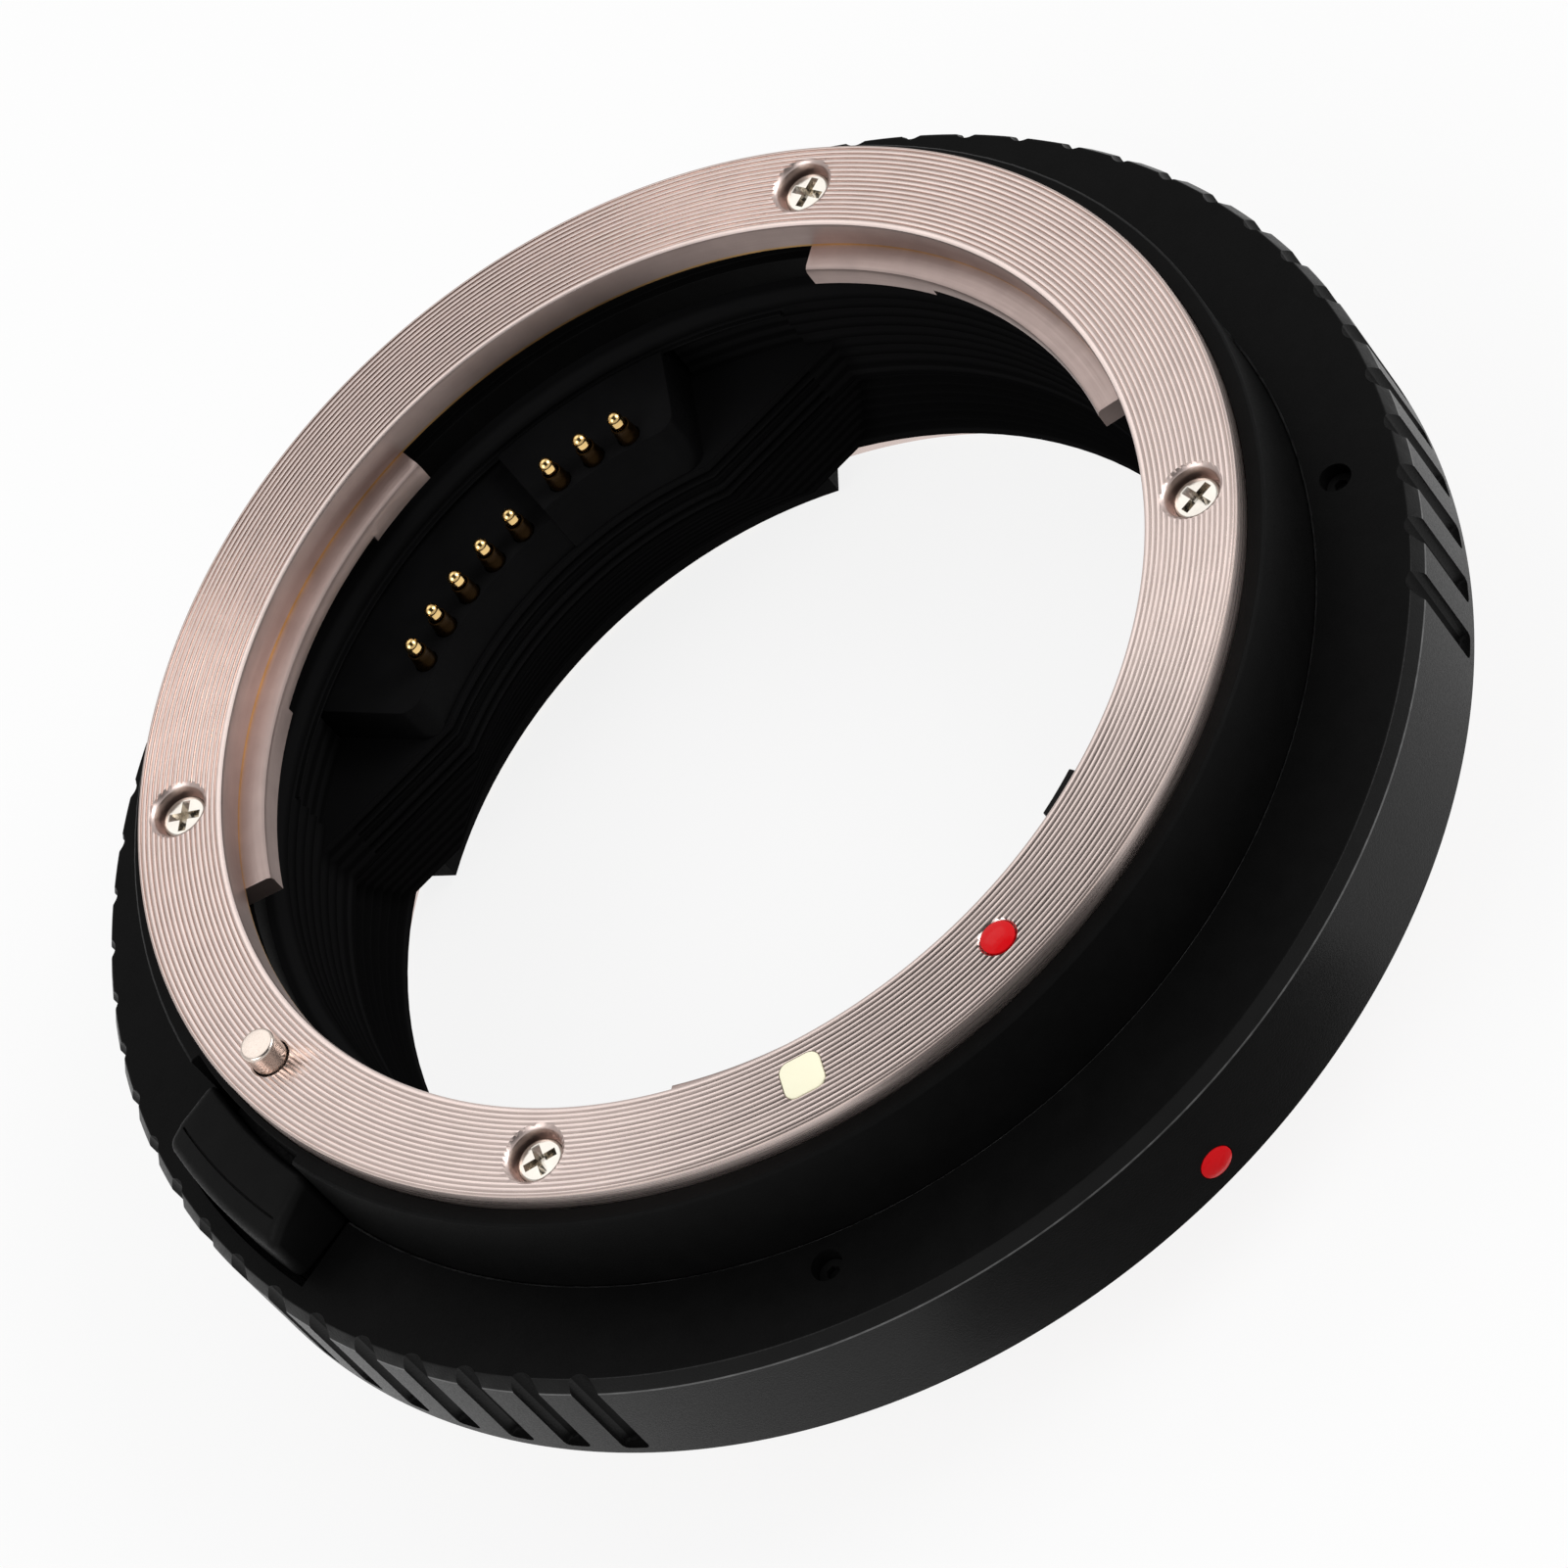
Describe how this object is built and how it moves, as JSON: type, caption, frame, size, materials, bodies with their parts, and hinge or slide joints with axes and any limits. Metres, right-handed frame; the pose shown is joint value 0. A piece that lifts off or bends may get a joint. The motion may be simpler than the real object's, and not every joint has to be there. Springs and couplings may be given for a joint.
{
  "type": "lens mount adapter",
  "caption": "Electronic adapter ring that seats a bayonet lens with a 54 mm throat on a camera with a 65 mm bayonet, with sprung contacts, a ribbed light path and a release.",
  "frame": {"origin": "on the optical axis, at the end face of the camera side bayonet", "axes": "+Z along the optical axis towards the lens; -Y through the red index dots; +Y through the middle of the contact block; the release button is at -X"},
  "size_m": [0.0778, 0.078, 0.0238],
  "materials": {
    "black_metal": "black anodised, fine blasted grain",
    "mount_metal": "nickel plated over brass, fine turned grooves",
    "screw_steel": "bright nickel plating",
    "pin_steel": "polished",
    "spring_steel": "plain spring steel",
    "black_screw": "black oxide",
    "red_paint": "glossy enamel",
    "pale_paint": "glossy enamel",
    "baffle_plastic": "matte black against stray light",
    "block_plastic": "satin black moulding",
    "button_plastic": "fine moulded grain",
    "contact_gold": "gold plated",
    "board_green": "glass epoxy board with green lacquer",
    "chip_black": "moulded chip packages",
    "flex_amber": "amber film with copper tracks"
  },
  "bodies": {
    "housing": {"neck_housing": "black_metal", "grip_body": "black_metal", "lens_mount_ring": "mount_metal", "lens_mount_screws": "screw_steel", "flange_index_dot": "red_paint", "flange_index_mark": "pale_paint", "leaf_springs": "spring_steel", "rotation_stop": "black_screw", "band_index_dot": "red_paint", "shoulder_screws": "black_screw", "release_spring": "spring_steel", "spring_plug": "screw_steel", "front_baffle": "baffle_plastic", "rear_baffle": "baffle_plastic", "contact_block": "block_plastic", "contact_sleeves": "contact_gold", "contact_board": "board_green", "block_screws": "screw_steel", "control_board": "board_green", "board_screws": "screw_steel", "board_components": "chip_black", "front_flex": "flex_amber", "rear_flex": "flex_amber", "rear_mount_ring": "mount_metal", "rear_mount_screws": "screw_steel", "rear_contact_block": "block_plastic", "rear_contact_pads": "contact_gold", "rear_block_screws": "screw_steel", "contact_spring_1": "spring_steel", "contact_spring_2": "spring_steel", "contact_spring_3": "spring_steel", "contact_spring_4": "spring_steel", "contact_spring_5": "spring_steel", "contact_spring_6": "spring_steel", "contact_spring_7": "spring_steel", "contact_spring_8": "spring_steel"},
    "release": {"release_button": "button_plastic", "lock_pin": "pin_steel"},
    "contact_1": {"contact_plunger_1": "contact_gold"},
    "contact_2": {"contact_plunger_2": "contact_gold"},
    "contact_3": {"contact_plunger_3": "contact_gold"},
    "contact_4": {"contact_plunger_4": "contact_gold"},
    "contact_5": {"contact_plunger_5": "contact_gold"},
    "contact_6": {"contact_plunger_6": "contact_gold"},
    "contact_7": {"contact_plunger_7": "contact_gold"},
    "contact_8": {"contact_plunger_8": "contact_gold"}
  },
  "joints": [
    {"name": "release_slide", "type": "slide", "parent": "housing", "child": "release", "axis": [0, 0, -1], "range_m": [0, 0.0016], "stiffness_N_per_m": 400, "springref_m": -0.003, "deforming": ["release_spring"]},
    {"name": "contact_1_slide", "type": "slide", "parent": "housing", "child": "contact_1", "axis": [0, 0, -1], "range_m": [0, 0.001], "stiffness_N_per_m": 150, "springref_m": -0.001, "deforming": ["contact_spring_1"]},
    {"name": "contact_2_slide", "type": "slide", "parent": "housing", "child": "contact_2", "axis": [0, 0, -1], "range_m": [0, 0.001], "stiffness_N_per_m": 150, "springref_m": -0.001, "deforming": ["contact_spring_2"]},
    {"name": "contact_3_slide", "type": "slide", "parent": "housing", "child": "contact_3", "axis": [0, 0, -1], "range_m": [0, 0.001], "stiffness_N_per_m": 150, "springref_m": -0.001, "deforming": ["contact_spring_3"]},
    {"name": "contact_4_slide", "type": "slide", "parent": "housing", "child": "contact_4", "axis": [0, 0, -1], "range_m": [0, 0.001], "stiffness_N_per_m": 150, "springref_m": -0.001, "deforming": ["contact_spring_4"]},
    {"name": "contact_5_slide", "type": "slide", "parent": "housing", "child": "contact_5", "axis": [0, 0, -1], "range_m": [0, 0.001], "stiffness_N_per_m": 150, "springref_m": -0.001, "deforming": ["contact_spring_5"]},
    {"name": "contact_6_slide", "type": "slide", "parent": "housing", "child": "contact_6", "axis": [0, 0, -1], "range_m": [0, 0.001], "stiffness_N_per_m": 150, "springref_m": -0.001, "deforming": ["contact_spring_6"]},
    {"name": "contact_7_slide", "type": "slide", "parent": "housing", "child": "contact_7", "axis": [0, 0, -1], "range_m": [0, 0.001], "stiffness_N_per_m": 150, "springref_m": -0.001, "deforming": ["contact_spring_7"]},
    {"name": "contact_8_slide", "type": "slide", "parent": "housing", "child": "contact_8", "axis": [0, 0, -1], "range_m": [0, 0.001], "stiffness_N_per_m": 150, "springref_m": -0.001, "deforming": ["contact_spring_8"]}
  ]
}
